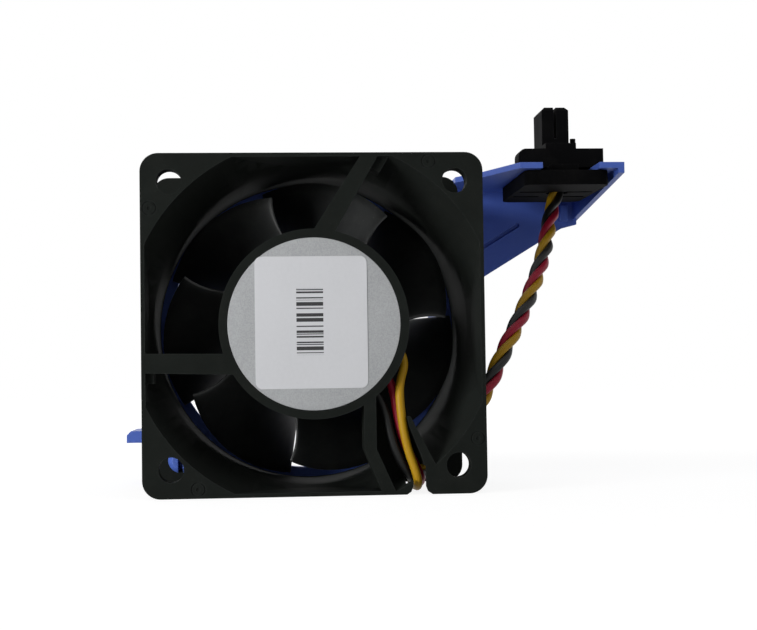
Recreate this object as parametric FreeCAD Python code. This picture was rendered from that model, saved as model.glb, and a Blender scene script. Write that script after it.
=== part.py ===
import FreeCAD, Part
import math
import os
from FreeCAD import Placement, Rotation, Vector

# A 60 mm axial fan in a clip-on carrier whose side arm holds a panel connector.
# The fan's axis runs along Y. The outlet face is at y = 0 and the inlet face at y = fan_depth.
# X is to the right and Z is up, seen from the outlet side. All sizes are in millimetres.

# ---- fan frame ----
fan_side = 60.0
fan_depth = 38.0
corner_radius = 3.2
flange_thickness = 4.0
hole_spacing = 50.0
mounting_hole_diameter = 4.4
bore_radius = 28.8
bore_wall = 1.1
inlet_lip = 0.5
outlet_radius = 32.5
outlet_wall = 1.4
outlet_side_wall = 0.7
flare_depth = 15.0
mark_radius = 1.3
mark_width = 0.25
mark_dot_radius = 0.35
mark_depth = 0.15
mark_offset = 28.4
mark_side_offset = 20.4

# ---- motor base and struts ----
base_radius = 16.65
base_plate = 1.6
base_depth = 6.8
base_rim = 1.35
label_clearance = 0.15
rim_slot_outside = 1.5
rim_slot_inside = 0.5
label_radius = 15.1
label_thickness = 0.3
label_inset = 0.08
sticker_width = 19.6
sticker_height = 23.1
sticker_corner = 1.2
sticker_thickness = 0.12
sticker_side_shift = -0.5
sticker_up_shift = 0.25
# each strut: its angle, its offset and width at the motor base, and its offset and width at the duct
struts = ((180.0, 6.9, 3.65, 6.55, 3.4), (58.6, 6.8, 3.5, 6.8, 2.5))
strut_root = 3.0
buttress_width = 1.4
buttress_length = 2.2
buttress_reach = 3.6
buttress_front = 1.2

# ---- wire channel between the motor base and the bottom edge ----
channel_floor_depth = 5.6
channel_left_x = 8.5
channel_left_width = 2.1
channel_left_top_z = -12.5
channel_left_slant = 1.0
channel_knee_z = -22.0
channel_foot_x = 11.6
channel_foot_width = 2.4
channel_edge_gap = 0.3
channel_right_top = (16.0, -16.4)
channel_right_top_width = 0.6
channel_right_knee = (16.4, -18.2)
channel_right_low = (18.4, -23.2)
channel_right_foot = (20.0, -28.2)
channel_right_outer = (21.4, -25.8)
channel_right_shoulder = (22.3, -28.2)
channel_floor_left_z = -11.0
channel_floor_start = (11.0, -6.0)
channel_floor_shoulder = (15.4, -8.0)
notch_x = 18.05
notch_lip_width = 2.3
notch_lip_depth = 1.0
notch_width = 4.6
notch_top_gap = 0.34
notch_depth = 11.0
notch_flare_width = 1.1
notch_flare_waist = 0.35
notch_flare_low = 0.5
notch_flare_height = 1.4
rim_slot_start = -53.0
rim_slot_end = -13.0

# ---- impeller ----
blade_count = 7
blade_phase = 1.5
blade_wrap = 55.0
blade_camber = 3.0
blade_front = 16.5
blade_back = 35.0
blade_middle_thickness = 1.3
blade_edge_thickness = 0.7
blade_stations = 9
blade_root_radius = 13.2
blade_overrun = 1.0
blade_tip_drop = 3.1
blade_tip_full_y = 30.0
tip_clearance = 0.7
hub_radius = 16.5
hub_wall = 1.2
hub_front = 8.2
hub_back = 35.4
hub_edge_round = 1.2

# ---- motor ----
shaft_radius = 1.5
shaft_front = 3.2
shaft_recess = 0.4
bearing_outer_radius = 4.0
bearing_width = 4.0
bearing_ring = 0.7
ball_radius = 0.72
ball_count = 7
ball_clearance = 0.04
front_bearing_start = 4.5
rear_bearing_start = 23.0
bearing_shoulder = 0.6
tube_wall = 0.95
tube_front = 2.0
tube_back = 27.6
boss_wall = 0.9
boss_end = 9.0
press_clearance = 0.03
yoke_wall = 1.0
yoke_front = 8.7
magnet_thickness = 2.0
magnet_front = 9.5
magnet_length = 19.5
air_gap = 0.4
core_front = 13.0
core_length = 10.0
core_ring = 1.6
pole_width = 4.0
pole_count = 4
pole_shoe_thickness = 1.4
pole_shoe_angle = 72.0
pole_phase = 45.0
insulator_thickness = 1.0
insulator_margin = 0.2
coil_build = 1.8
coil_clearance = 0.1
coil_root_gap = 0.25
coil_round = 1.08
board_thickness = 1.0
board_front = 5.4
board_edge_gap = 0.5
board_hole_gap = 0.2
hall_reach = 0.36
hall_length = 1.6
hall_width = 4.0
hall_magnet_gap = 0.6
chip_edge_gap = 3.2
chip_length = 5.0
chip_width = 4.0
chip_thickness = 1.5
chip_z = 1.0
capacitor_radius = 2.0
capacitor_height = 3.0
capacitor_edge_gap = 6.2
capacitor_z = -4.6
bushing_radius = 4.2
bushing_start = 29.5
bushing_end_gap = 0.05
spring_wire = 0.4
spring_radius = 2.6
spring_turns = 3
spring_steps = 6
clip_radius = 2.6
clip_thickness = 0.5
clip_bearing_gap = 0.07
clip_groove_depth = 0.25
clip_play = 0.03
clip_seat_gap = 0.05
clip_slot = 1.2

# ---- carrier behind the fan ----
carrier_margin = 0.3
collar_thickness = 2.4
collar_opening_radius = 27.0
carrier_wall = 1.6
top_wall_depth = 8.0
left_wall_depth = 20.0
left_wall_top = 12.0
left_wall_slant = 4.0
wall_set_in = 1.9
arm_depth = 42.0
right_wall_front_low = -14.0
right_wall_back_low = 6.4
peg_clearance = 0.2
snap_head_overhang = 0.25
snap_head_length = 2.0
snap_slit = 0.9
snap_slit_height = 8.0
snap_slit_floor = 1.2
snap_nose_radius = 1.5
peg_root = 0.5
plain_peg_length = 3.2
tab_reach = 6.0
tab_height = 2.3
tab_z = -20.5
tab_length = 17.0
tab_chamfer = 0.8
tab_root = 0.5

# ---- side arm ----
shelf_top = 33.4
shelf_thickness = 1.2
shelf_left_back_x = 33.0
shelf_left_middle_x = 37.5
shelf_left_middle_setback = 27.0
shelf_left_turn_setback = 19.0
shelf_left_front_x = 43.2
shelf_right_x = 64.6
shelf_right_back_x = 63.2
slot_reach_left = 5.45
slot_reach_right = 6.15
slot_end_setback = 14.0
slot_corner = 1.5
gusset_thickness = 1.2
gusset_front_height = 2.2
gusset_back_height = 7.8
web_edge_x = 41.5
web_edge_z = 12.97
web_slope = 0.606
web_foot_x = 59.0
web_foot_width = 0.6
web_foot_rise = 0.3
web_side_gap = 0.3
web_end_z = 24.7
groove_rise = 6.85
groove_width = 0.9
groove_depth = 0.8
groove_end_x = 49.3
groove_start_gap = 0.6
pillar_x = 58.95
pillar_width = 1.7
pillar_depth = 1.4
pillar_foot = 1.8
pillar_top_gap = 0.2

# ---- panel connector ----
plug_x = 53.35
plug_width = 5.7
plug_setback = 22.8
plug_depth = 9.5
plug_top = 47.1
plug_split = 0.6
plug_split_bottom = 40.4
plug_chamfer = 0.7
connector_flange_width = 17.2
connector_flange_ahead = 17.2
connector_flange_behind = 14.8
connector_flange_bottom = 29.1
connector_flange_corner = 2.0
panel_clearance = 0.1
side_clearance = 0.3
neck_front_width = 5.8
neck_front_ahead = 14.2
neck_back_ahead = 6.2
ear_width = 17.8
ear_top = 37.45
ear_ahead = 10.5
ear_depth = 5.0
ear_round = 1.6
block_width = 6.4
block_behind = 6.8
block_top = 38.6
guide_peg_offset = 4.65
guide_peg_radius = 0.6
guide_peg_top = 41.0
contact_pitch = 3.0
contact_size = 0.64
cavity_size = 1.5
cavity_bottom = 33.0
contact_gap = 0.05
contact_top_gap = 1.5
contact_base_height = 4.0
wire_entry_radius = 2.4
wire_entry_depth = 2.1
recess_length = 5.6
recess_width = 1.7
recess_depth = 0.6
recess_row_offset = 4.2
recess_edge_gap = 0.9

# ---- joining ----
join = 0.2
overshoot = 1.0

# ---- leads ----
wire_diameter = 1.5
bundle_diameter = 3.3
yellow_route = [(10.4, 4.5, -1.6), (14.6, 4.3, -3.8), (16.2, 3.6, -6.8), (15.0, 2.7, -10.4),
                (14.9, 1.9, -13.8), (15.4, 1.7, -18.4), (16.3, 1.7, -22.6), (17.4, 1.7, -25.6),
                (18.0, 1.8, -27.8), (18.05, 3.8, -28.9), (18.05, 5.95, -28.9)]
red_route = [(9.2, 4.5, -4.8), (12.2, 4.5, -7.7), (13.9, 4.3, -11.2), (14.4, 3.7, -14.8),
             (14.9, 3.4, -18.6), (16.1, 3.4, -22.0), (17.5, 3.4, -24.6), (18.4, 3.7, -26.6),
             (18.85, 4.6, -27.5), (18.85, 5.95, -27.55)]
black_route = [(7.2, 4.5, -7.8), (9.6, 4.4, -10.6), (11.7, 3.8, -13.6), (12.6, 2.8, -16.4),
               (13.1, 2.3, -19.2), (13.9, 2.3, -22.0), (15.0, 2.6, -24.4), (16.2, 3.3, -26.4),
               (17.15, 4.5, -27.45), (17.2, 5.95, -27.55)]
bundle_route = [(18.05, 6.0, -28.0), (18.05, 10.6, -28.0), (22.0, 13.6, -25.2), (25.8, 15.8, -21.3),
                (29.6, 17.6, -17.4), (33.6, 20.6, -11.2), (37.4, 23.8, -4.1), (41.6, 29.2, 2.5),
                (45.3, 35.4, 9.0), (48.4, 41.6, 15.2), (50.4, 47.2, 20.4), (51.9, 51.8, 24.4),
                (53.5, 55.0, 27.6), (53.9, 55.2, 30.8)]

half_side = fan_side / 2
hole_half = hole_spacing / 2
hole_radius = mounting_hole_diameter / 2
tip_radius = bore_radius - tip_clearance
carrier_half = half_side - carrier_margin
collar_back = fan_depth + collar_thickness
arm_back = fan_depth + arm_depth
shelf_bottom = shelf_top - shelf_thickness
yoke_outer = hub_radius - hub_wall - press_clearance
magnet_outer = yoke_outer - yoke_wall - press_clearance
core_outer = magnet_outer - magnet_thickness - air_gap
tube_outer = bearing_outer_radius + tube_wall
yoke_back = hub_back - hub_wall - press_clearance
race_radius = (shaft_radius + bearing_outer_radius) / 2
magnet_inner = magnet_outer - magnet_thickness
board_edge = base_radius - base_rim - board_edge_gap
notch_top_z = notch_top_gap - math.sqrt(outlet_radius ** 2 - (notch_x + notch_width / 2) ** 2)
plug_y = arm_back - plug_setback
slot_left = plug_x - slot_reach_left
slot_right = plug_x + slot_reach_right
slot_end_y = arm_back - slot_end_setback
along_y = Vector(0, 1, 0)


def barrel(radius, start, end, x=0.0, z=0.0):
    """A cylinder along Y."""
    return Part.makeCylinder(radius, end - start, Vector(x, start, z), along_y)


def ring(outer, inner, start, end, x=0.0, z=0.0):
    """A cylinder along Y with a hole through it."""
    return barrel(outer, start, end, x, z).cut(barrel(inner, start - overshoot, end + overshoot, x, z))


def block(x0, x1, y0, y1, z0, z1):
    return Part.makeBox(x1 - x0, y1 - y0, z1 - z0, Vector(x0, y0, z0))


def plate_xz(points, start, end):
    """A flat outline in X and Z, from y = start to y = end."""
    corners = [Vector(x, start, z) for x, z in points]
    face = Part.Face(Part.makePolygon(corners + corners[:1]))
    return face.extrude(Vector(0, end - start, 0))


def plate_xy(points, bottom, top):
    corners = [Vector(x, y, bottom) for x, y in points]
    face = Part.Face(Part.makePolygon(corners + corners[:1]))
    return face.extrude(Vector(0, 0, top - bottom))


def plate_yz(points, left, right):
    corners = [Vector(left, y, z) for y, z in points]
    face = Part.Face(Part.makePolygon(corners + corners[:1]))
    return face.extrude(Vector(right - left, 0, 0))


def turned(profile):
    """A closed outline of (radius, y) points, turned about the fan's axis."""
    corners = [Vector(r, y, 0) for r, y in profile]
    face = Part.Face(Part.makePolygon(corners + corners[:1]))
    return face.revolve(Vector(0, 0, 0), along_y, 360)


def sector(outer, inner, start, end, from_degrees, to_degrees):
    """Part of a ring about the fan's axis, between two angles counter-clockwise from +X."""
    corners = [Vector(inner, start, 0), Vector(outer, start, 0), Vector(outer, end, 0), Vector(inner, end, 0)]
    face = Part.Face(Part.makePolygon(corners + corners[:1]))
    return turn_about_axis(face.revolve(Vector(0, 0, 0), -along_y, to_degrees - from_degrees), from_degrees)


def turn_about_axis(shape, degrees):
    """Turned about the fan's axis, counter-clockwise as seen from the outlet side."""
    copy = shape.copy()
    copy.Placement = Placement(Vector(0, 0, 0), Rotation(along_y, -degrees)).multiply(copy.Placement)
    return copy


def edges_along(shape, direction, keep=lambda middle: True):
    """The straight edges of a solid that run along a direction."""
    found = []
    for edge in shape.Edges:
        if edge.Curve.TypeId != "Part::GeomLine":
            continue
        run = edge.Vertexes[-1].Point - edge.Vertexes[0].Point
        middle = (edge.Vertexes[-1].Point + edge.Vertexes[0].Point) * 0.5
        if run.Length > 1e-6 and run.cross(direction).Length < 1e-6 * run.Length and keep(middle):
            found.append(edge)
    return found


def rounded_square(half, radius, start, end):
    slab = block(-half, half, start, end, -half, half)
    return slab.makeFillet(radius, edges_along(slab, along_y))


def fused(shapes):
    return shapes[0].multiFuse(shapes[1:]).removeSplitter()


def tube_along(points, diameter, name):
    """A round tube on straight runs joined by tangent arcs, each as large as its two runs allow."""
    corners = [Vector(*point) for point in points]
    edges = []
    here = corners[0]
    radii = []
    for before, corner, after in zip(corners, corners[1:], corners[2:]):
        back = (before - corner)
        ahead = (after - corner)
        shorter = min(back.Length, ahead.Length)
        back.normalize()
        ahead.normalize()
        half_turn = (math.pi - back.getAngle(ahead)) / 2
        set_back = 0.45 * shorter
        radii.append(set_back / math.tan(half_turn))
        first = corner + back * set_back
        last = corner + ahead * set_back
        inward = back + ahead
        inward.normalize()
        middle = corner + inward * (radii[-1] / math.cos(half_turn) - radii[-1])
        edges.append(Part.LineSegment(here, first).toShape())
        edges.append(Part.Arc(first, middle, last).toShape())
        here = last
    edges.append(Part.LineSegment(here, corners[-1]).toShape())
    path = Part.Wire(edges)
    section = Part.Wire(Part.makeCircle(diameter / 2, corners[0], corners[1] - corners[0]))
    tube = path.makePipeShell([section], True, False)
    expected = math.pi * diameter ** 2 / 4 * path.Length
    print(f"{name}: length {path.Length:.1f}, volume {tube.Volume:.1f} of {expected:.1f}, "
          f"radii {[round(r, 1) for r in radii]}")
    return tube


# ---- fan frame ----

def corner_places():
    return [(sx * hole_half, sz * hole_half) for sx in (-1, 1) for sz in (-1, 1)]


def duct_outside():
    outer_bore = bore_radius + bore_wall
    outer_outlet = outlet_radius + outlet_wall
    body = turned([(0, 0), (outer_outlet, 0), (outer_outlet, flange_thickness),
                   (outer_bore, flare_depth), (outer_bore, fan_depth), (0, fan_depth)])
    return body.common(block(-half_side, half_side, 0, fan_depth, -half_side, half_side))


def duct_inside():
    front, back = -overshoot, fan_depth + overshoot
    space = turned([(0, front), (outlet_radius, front), (outlet_radius, 0),
                    (bore_radius, flare_depth), (bore_radius, fan_depth - inlet_lip),
                    (bore_radius + inlet_lip, fan_depth), (bore_radius + inlet_lip, back), (0, back)])
    clear = half_side - outlet_side_wall
    return space.common(block(-clear, clear, front, back, -clear, clear))


def flanges():
    front = rounded_square(half_side, corner_radius, 0, flange_thickness)
    back = rounded_square(half_side, corner_radius, fan_depth - flange_thickness, fan_depth)
    return [front, back]


def reaches_side_wall(angle):
    """True where the duct's outlet is cut flat by a side of the square."""
    return angle % 90 == 0


def strut(angle, hub_offset, hub_width, wall_offset, wall_width):
    """A tangentially offset arm from the motor base to the duct, wider at the base."""
    reach_in = base_radius - base_rim - strut_root
    reach_out = outlet_radius + outlet_wall / 2
    if reaches_side_wall(angle):
        reach_out = half_side - outlet_side_wall / 2
    outline = [(reach_in, hub_offset - hub_width / 2), (reach_out, wall_offset - wall_width / 2),
               (reach_out, wall_offset + wall_width / 2), (reach_in, hub_offset + hub_width / 2)]
    return turn_about_axis(plate_xz(outline, 0, base_depth), angle)


def buttress(angle, wall_offset, wall_width):
    """A small block beside a strut's outer end."""
    inner, outer, side = outlet_radius - buttress_reach, outlet_radius + outlet_wall / 2, -1
    if reaches_side_wall(angle):
        inner, outer, side = half_side - outlet_side_wall - buttress_width, half_side, 1
    start = wall_offset + side * (wall_width / 2 - join)
    end = start + side * (buttress_length - join)
    low, high = sorted((start, end))
    outline = [(inner, low), (outer, low), (outer, high), (inner, high)]
    return turn_about_axis(plate_xz(outline, buttress_front, base_depth), angle)


def channel_left():
    right = channel_left_x + channel_left_width
    foot_z = channel_edge_gap - half_side
    return plate_xz([(channel_left_x, channel_left_top_z), (right, channel_left_top_z + channel_left_slant),
                     (right, channel_knee_z), (channel_foot_x + channel_foot_width, foot_z),
                     (channel_foot_x, foot_z), (channel_left_x, channel_knee_z)], 0, base_depth)


def channel_right_corner():
    return channel_right_top[0] + channel_right_top_width, channel_right_top[1]


def channel_right():
    return plate_xz([channel_right_top, channel_right_corner(), channel_right_outer, channel_right_shoulder,
                     channel_right_foot, channel_right_low, channel_right_knee], 0, base_depth)


def channel_floor():
    foot_z = channel_edge_gap - half_side
    return plate_xz([(channel_left_x, channel_floor_left_z), (channel_left_x, channel_knee_z),
                     (channel_foot_x, foot_z), (channel_right_foot[0], foot_z), channel_right_outer,
                     channel_right_corner(), channel_floor_shoulder, channel_floor_start],
                    channel_floor_depth, base_depth)


def motor_base():
    cup = barrel(base_radius, 0, base_depth)
    cup = cup.cut(barrel(base_radius - base_rim, base_plate, base_depth + overshoot))
    cup = cup.cut(barrel(label_radius + label_clearance, -overshoot, label_thickness + label_inset))
    boss_inner = tube_outer + press_clearance
    return cup.fuse(ring(boss_inner + boss_wall, boss_inner, base_plate, boss_end))


def rim_slot():
    """Where the leads leave the motor base, behind its front plate."""
    return sector(base_radius + rim_slot_outside, base_radius - base_rim - rim_slot_inside, base_plate,
                  channel_floor_depth, rim_slot_start, rim_slot_end)


def notch():
    bottom = -half_side - overshoot
    lip_half = notch_lip_width / 2
    lip = block(notch_x - lip_half, notch_x + lip_half, -overshoot, notch_depth, bottom, notch_top_z)
    inner = block(notch_x - notch_width / 2, notch_x + notch_width / 2, notch_lip_depth, notch_depth,
                  bottom, notch_top_z)
    left = [(-lip_half - notch_flare_width, -half_side),
            (-lip_half - notch_flare_waist, -half_side + notch_flare_low),
            (-lip_half, -half_side + notch_flare_height)]
    right = [(-x, z) for x, z in reversed(left)]
    flare = plate_xz([(notch_x + x, z) for x, z in left + right], -overshoot, flange_thickness + overshoot)
    return [lip, inner, flare]


def mould_marks():
    places = [(-mark_offset, mark_side_offset), (mark_side_offset, mark_offset),
              (mark_offset, -mark_side_offset), (-mark_side_offset, -mark_offset)]
    grooves = [ring(mark_radius, mark_radius - mark_width, -overshoot, mark_depth, x, z) for x, z in places]
    dots = [barrel(mark_dot_radius, -overshoot, mark_depth, x, z) for x, z in places]
    return grooves + dots


def fan_frame():
    shell = fused([duct_outside()] + flanges()).cut(duct_inside())
    arms = [strut(*values) for values in struts]
    arms += [buttress(angle, offset, width) for angle, _, _, offset, width in struts]
    web = [channel_left(), channel_right(), channel_floor()]
    clear = half_side - outlet_side_wall / 2
    inside = block(-clear, clear, 0, fan_depth, -clear, clear)
    inside = inside.common(barrel(outlet_radius + outlet_wall / 2, -overshoot, fan_depth))
    spokes = fused(arms + web).common(inside)
    spokes = spokes.cut(barrel(base_radius - base_rim / 2, -overshoot, fan_depth))
    frame = fused([shell, spokes, motor_base()])
    frame = frame.cut(rim_slot())
    holes = [barrel(hole_radius, -overshoot, fan_depth + overshoot, x, z) for x, z in corner_places()]
    for tool in holes + notch() + mould_marks():
        frame = frame.cut(tool)
    return frame


# ---- impeller ----

def blade_section(distance):
    """The blade's section in a plane across its middle radius, at a distance from the axis."""
    front_side, back_side = [], []
    for index in range(blade_stations):
        share = index / (blade_stations - 1)
        y = blade_front + share * (blade_back - blade_front)
        angle = math.radians(blade_wrap * (share - 0.5) + blade_camber * math.sin(math.pi * share))
        across = distance * math.tan(angle)
        slope = distance * math.radians(blade_wrap) / (blade_back - blade_front)
        lean = math.hypot(1, slope)
        bulge = math.sqrt(max(0.0, 1 - (2 * share - 1) ** 2))
        half = (blade_edge_thickness + (blade_middle_thickness - blade_edge_thickness) * bulge) / 2
        normal = Vector(0, -slope / lean, 1 / lean)
        middle = Vector(distance, y, across)
        front_side.append(middle + normal * half)
        back_side.append(middle - normal * half)
    upper = Part.BSplineCurve()
    upper.interpolate(front_side)
    lower = Part.BSplineCurve()
    lower.interpolate(back_side[::-1])
    closing = [Part.LineSegment(front_side[-1], back_side[-1]).toShape(),
               Part.LineSegment(back_side[0], front_side[0]).toShape()]
    return Part.Wire([upper.toShape(), closing[0], lower.toShape(), closing[1]])


def blade_envelope():
    """The space the blades turn in. Their tips are cut back towards the outlet along an arc."""
    front, full = blade_front - blade_middle_thickness, blade_tip_full_y
    half_way = (blade_front + full) / 2
    inner = hub_radius - hub_wall / 2
    low, middle = tip_radius - blade_tip_drop, tip_radius - blade_tip_drop / 4
    arc = Part.Arc(Vector(low, blade_front, 0), Vector(middle, half_way, 0), Vector(tip_radius, full, 0))
    run = [(tip_radius, full), (tip_radius, hub_back), (inner, hub_back), (inner, front), (low, front),
           (low, blade_front)]
    corners = [Vector(r, y, 0) for r, y in run]
    sides = [Part.LineSegment(a, b).toShape() for a, b in zip(corners, corners[1:])]
    return Part.Face(Part.Wire([arc.toShape()] + sides)).revolve(Vector(0, 0, 0), along_y, 360)


def blade():
    sections = [blade_section(blade_root_radius), blade_section(tip_radius + blade_overrun)]
    return Part.makeLoft(sections, True, True).common(blade_envelope())


def impeller():
    hub = barrel(hub_radius, hub_front, hub_back)
    circles = [edge for edge in hub.Edges if edge.Curve.TypeId == "Part::GeomCircle"]
    rounded = [edge for edge in circles if edge.CenterOfMass.y > hub_back - join]
    hub = hub.makeFillet(hub_edge_round, rounded)
    hub = hub.cut(barrel(hub_radius - hub_wall, hub_front - overshoot, hub_back - hub_wall))
    first = blade()
    blades = [turn_about_axis(first, blade_phase + blade_wrap / 2 + k * 360 / blade_count)
              for k in range(blade_count)]
    return fused([hub] + blades)


# ---- motor ----

def rotor_yoke():
    cup = barrel(yoke_outer, yoke_front, yoke_back)
    cup = cup.cut(barrel(yoke_outer - yoke_wall, yoke_front - overshoot, yoke_back - yoke_wall))
    return cup.cut(barrel(bushing_radius + press_clearance, yoke_front, yoke_back + overshoot))


def magnet_ring():
    return ring(magnet_outer, magnet_inner, magnet_front, magnet_front + magnet_length)


def clip_start():
    return front_bearing_start - clip_thickness - clip_bearing_gap


def shaft():
    rod = barrel(shaft_radius, shaft_front, yoke_back - shaft_recess)
    groove = ring(shaft_radius + overshoot, shaft_radius - clip_groove_depth, clip_start() - clip_play,
                  clip_start() + clip_thickness + clip_play)
    return rod.cut(groove)


def shaft_bushing():
    return ring(bushing_radius, shaft_radius + press_clearance, bushing_start, yoke_back - bushing_end_gap)


def shaft_clip():
    start, end = clip_start(), clip_start() + clip_thickness
    washer = ring(clip_radius, shaft_radius - clip_groove_depth + clip_seat_gap, start, end)
    gap = block(-clip_slot / 2, clip_slot / 2, start - overshoot, end + overshoot, -clip_radius - overshoot, 0)
    return washer.cut(gap)


def preload_spring():
    """A coil spring between the rear bearing's inner ring and the bushing, as short runs and arcs."""
    start = rear_bearing_start + bearing_width + press_clearance + spring_wire / 2
    rise = bushing_start - press_clearance - spring_wire / 2 - start
    steps = spring_turns * spring_steps
    corner_radius_of_coil = spring_radius / math.cos(math.pi / spring_steps) ** 0.5
    points = []
    for k in range(steps + 1):
        angle = 2 * math.pi * k / spring_steps
        points.append((corner_radius_of_coil * math.cos(angle), start + rise * k / steps,
                       corner_radius_of_coil * math.sin(angle)))
    return tube_along(points, spring_wire, "preload_spring")


def race_groove(start):
    middle = Vector(0, start + bearing_width / 2, 0)
    return Part.makeTorus(race_radius, ball_radius + ball_clearance, middle, along_y)


def bearing_outer(start):
    outer = ring(bearing_outer_radius, bearing_outer_radius - bearing_ring, start, start + bearing_width)
    return outer.cut(race_groove(start))


def bearing_inner(start):
    inner = ring(shaft_radius + bearing_ring, shaft_radius + press_clearance / 2, start, start + bearing_width)
    return inner.cut(race_groove(start))


def bearing_balls(start):
    balls = []
    for k in range(ball_count):
        angle = 2 * math.pi * k / ball_count
        x, z = race_radius * math.cos(angle), race_radius * math.sin(angle)
        centre = Vector(x, start + bearing_width / 2, z)
        balls.append(Part.makeSphere(ball_radius, centre))
    return balls


def bearing_tube():
    tube = ring(tube_outer, bearing_outer_radius + press_clearance, tube_front, tube_back)
    front_stop = front_bearing_start + bearing_width + press_clearance
    back_stop = rear_bearing_start - press_clearance
    shoulder = ring(tube_outer, bearing_outer_radius - bearing_shoulder, front_stop, back_stop)
    return tube.fuse(shoulder).removeSplitter()


def pole_outline(ring_outer, arm_half, start, end):
    """A ring with arms that end in curved shoes."""
    inner = tube_outer + press_clearance
    parts = [ring(ring_outer, inner, start, end)]
    shoe_inner = core_outer - pole_shoe_thickness
    for k in range(pole_count):
        angle = pole_phase + k * 360 / pole_count
        arm = block(inner + core_ring / 2, shoe_inner + join, start, end, -arm_half, arm_half)
        parts.append(turn_about_axis(arm, angle))
        half = pole_shoe_angle / 2
        parts.append(sector(core_outer, shoe_inner, start, end, angle - half, angle + half))
    return fused(parts)


def stator_core():
    ring_outer = tube_outer + core_ring
    return pole_outline(ring_outer, pole_width / 2, core_front, core_front + core_length)


def insulator(start):
    ring_outer = tube_outer + core_ring + insulator_margin
    return pole_outline(ring_outer, pole_width / 2 + insulator_margin, start, start + insulator_thickness)


def stator_windings():
    """One coil on each pole arm, clear of the core and of both insulators."""
    inner_half = pole_width / 2 + insulator_margin + coil_clearance
    front = core_front - insulator_thickness - coil_clearance
    back = core_front + core_length + insulator_thickness + coil_clearance
    low = tube_outer + core_ring + insulator_margin + coil_root_gap
    half_width = inner_half + coil_build
    high = math.sqrt((core_outer - pole_shoe_thickness) ** 2 - half_width ** 2) - coil_clearance
    outer = block(low, high, front - coil_build, back + coil_build, -half_width, half_width)
    outer = outer.makeFillet(coil_round, edges_along(outer, Vector(1, 0, 0)))
    coil = outer.cut(block(low - overshoot, high + overshoot, front, back, -inner_half, inner_half))
    return [turn_about_axis(coil, pole_phase + k * 360 / pole_count) for k in range(pole_count)]


def motor_circuit_board():
    hole = tube_outer + press_clearance + boss_wall + board_hole_gap
    return ring(board_edge, hole, board_front, board_front + board_thickness)


def hall_sensor():
    """A small sensor on the board, just in front of the magnet's edge."""
    right = magnet_inner + hall_reach
    return block(right - hall_length, right, board_front + board_thickness, magnet_front - hall_magnet_gap,
                 -hall_width / 2, hall_width / 2)


def driver_chip():
    left = chip_edge_gap - board_edge
    return block(left, left + chip_length, board_front - chip_thickness, board_front,
                 chip_z, chip_z + chip_width)


def smoothing_capacitor():
    return barrel(capacitor_radius, board_front - capacitor_height, board_front,
                  capacitor_edge_gap - board_edge, capacitor_z)


# ---- labels ----

def hub_label():
    return barrel(label_radius, label_inset, label_inset + label_thickness)


def paper_sticker():
    """A rounded rectangle on the round label. Its corners end at the label's edge."""
    half_w, half_h = sticker_width / 2, sticker_height / 2
    slab = block(sticker_side_shift - half_w, sticker_side_shift + half_w,
                 label_inset - sticker_thickness, label_inset,
                 sticker_up_shift - half_h, sticker_up_shift + half_h)
    return slab.makeFillet(sticker_corner, edges_along(slab, along_y))


# ---- carrier ----

def collar():
    plate = rounded_square(carrier_half, corner_radius, fan_depth, collar_back)
    return plate.cut(barrel(collar_opening_radius, fan_depth - overshoot, collar_back + overshoot))


def carrier_walls():
    inner = carrier_half - carrier_wall
    straight = carrier_half - wall_set_in
    left_back = fan_depth + left_wall_depth
    top = block(-straight, straight, fan_depth, fan_depth + top_wall_depth, inner, carrier_half)
    left = plate_yz([(fan_depth, -straight), (left_back, -straight + left_wall_slant),
                     (left_back, left_wall_top - left_wall_slant), (fan_depth + top_wall_depth, straight),
                     (fan_depth, straight)], -carrier_half, -inner)
    right = plate_yz([(fan_depth, right_wall_front_low), (arm_back, right_wall_back_low),
                      (arm_back, carrier_half), (fan_depth, carrier_half)], inner, carrier_half)
    return [top, left, right]


def snap_peg(x, z):
    """A split peg through a flange hole, with a head that catches behind the flange."""
    radius = hole_radius - peg_clearance
    head_start = fan_depth - flange_thickness - peg_clearance
    stem = barrel(radius, head_start, fan_depth + peg_root, x, z)
    head = Part.makeCone(hole_radius + snap_head_overhang, snap_nose_radius, snap_head_length,
                         Vector(x, head_start, z), Vector(0, -1, 0))
    slit = block(x - snap_slit / 2, x + snap_slit / 2, head_start - snap_head_length - overshoot,
                 fan_depth - snap_slit_floor, z - snap_slit_height / 2, z + snap_slit_height / 2)
    return stem.fuse(head).cut(slit)


def plain_peg(x, z):
    return barrel(hole_radius - peg_clearance, fan_depth - plain_peg_length, fan_depth + peg_root, x, z)


def pegs():
    return [snap_peg(-hole_half, -hole_half), snap_peg(hole_half, hole_half),
            plain_peg(-hole_half, hole_half), plain_peg(hole_half, -hole_half)]


def guide_tab():
    outer, inner = carrier_half + tab_reach, carrier_half - tab_root
    low, high = tab_z - tab_height / 2, tab_z + tab_height / 2
    return plate_xz([(-inner, low), (-outer, low), (-outer, high - tab_chamfer),
                     (-outer + tab_chamfer, high), (-inner, high)], fan_depth, fan_depth + tab_length)


def web_low(x):
    """The height of the web's sloping lower edge."""
    return web_edge_z + (x - web_edge_x) * web_slope


def web():
    left = carrier_half - carrier_wall
    foot_z = web_low(web_foot_x)
    right = shelf_right_back_x - web_side_gap
    outline = [(left, web_low(left)), (web_foot_x, foot_z),
               (web_foot_x + web_foot_width, foot_z + web_foot_rise),
               (right, web_end_z), (right, shelf_top),
               (shelf_left_back_x, shelf_top), (carrier_half, carrier_half), (left, carrier_half)]
    return plate_xz(outline, arm_back - carrier_wall, arm_back)


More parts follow.
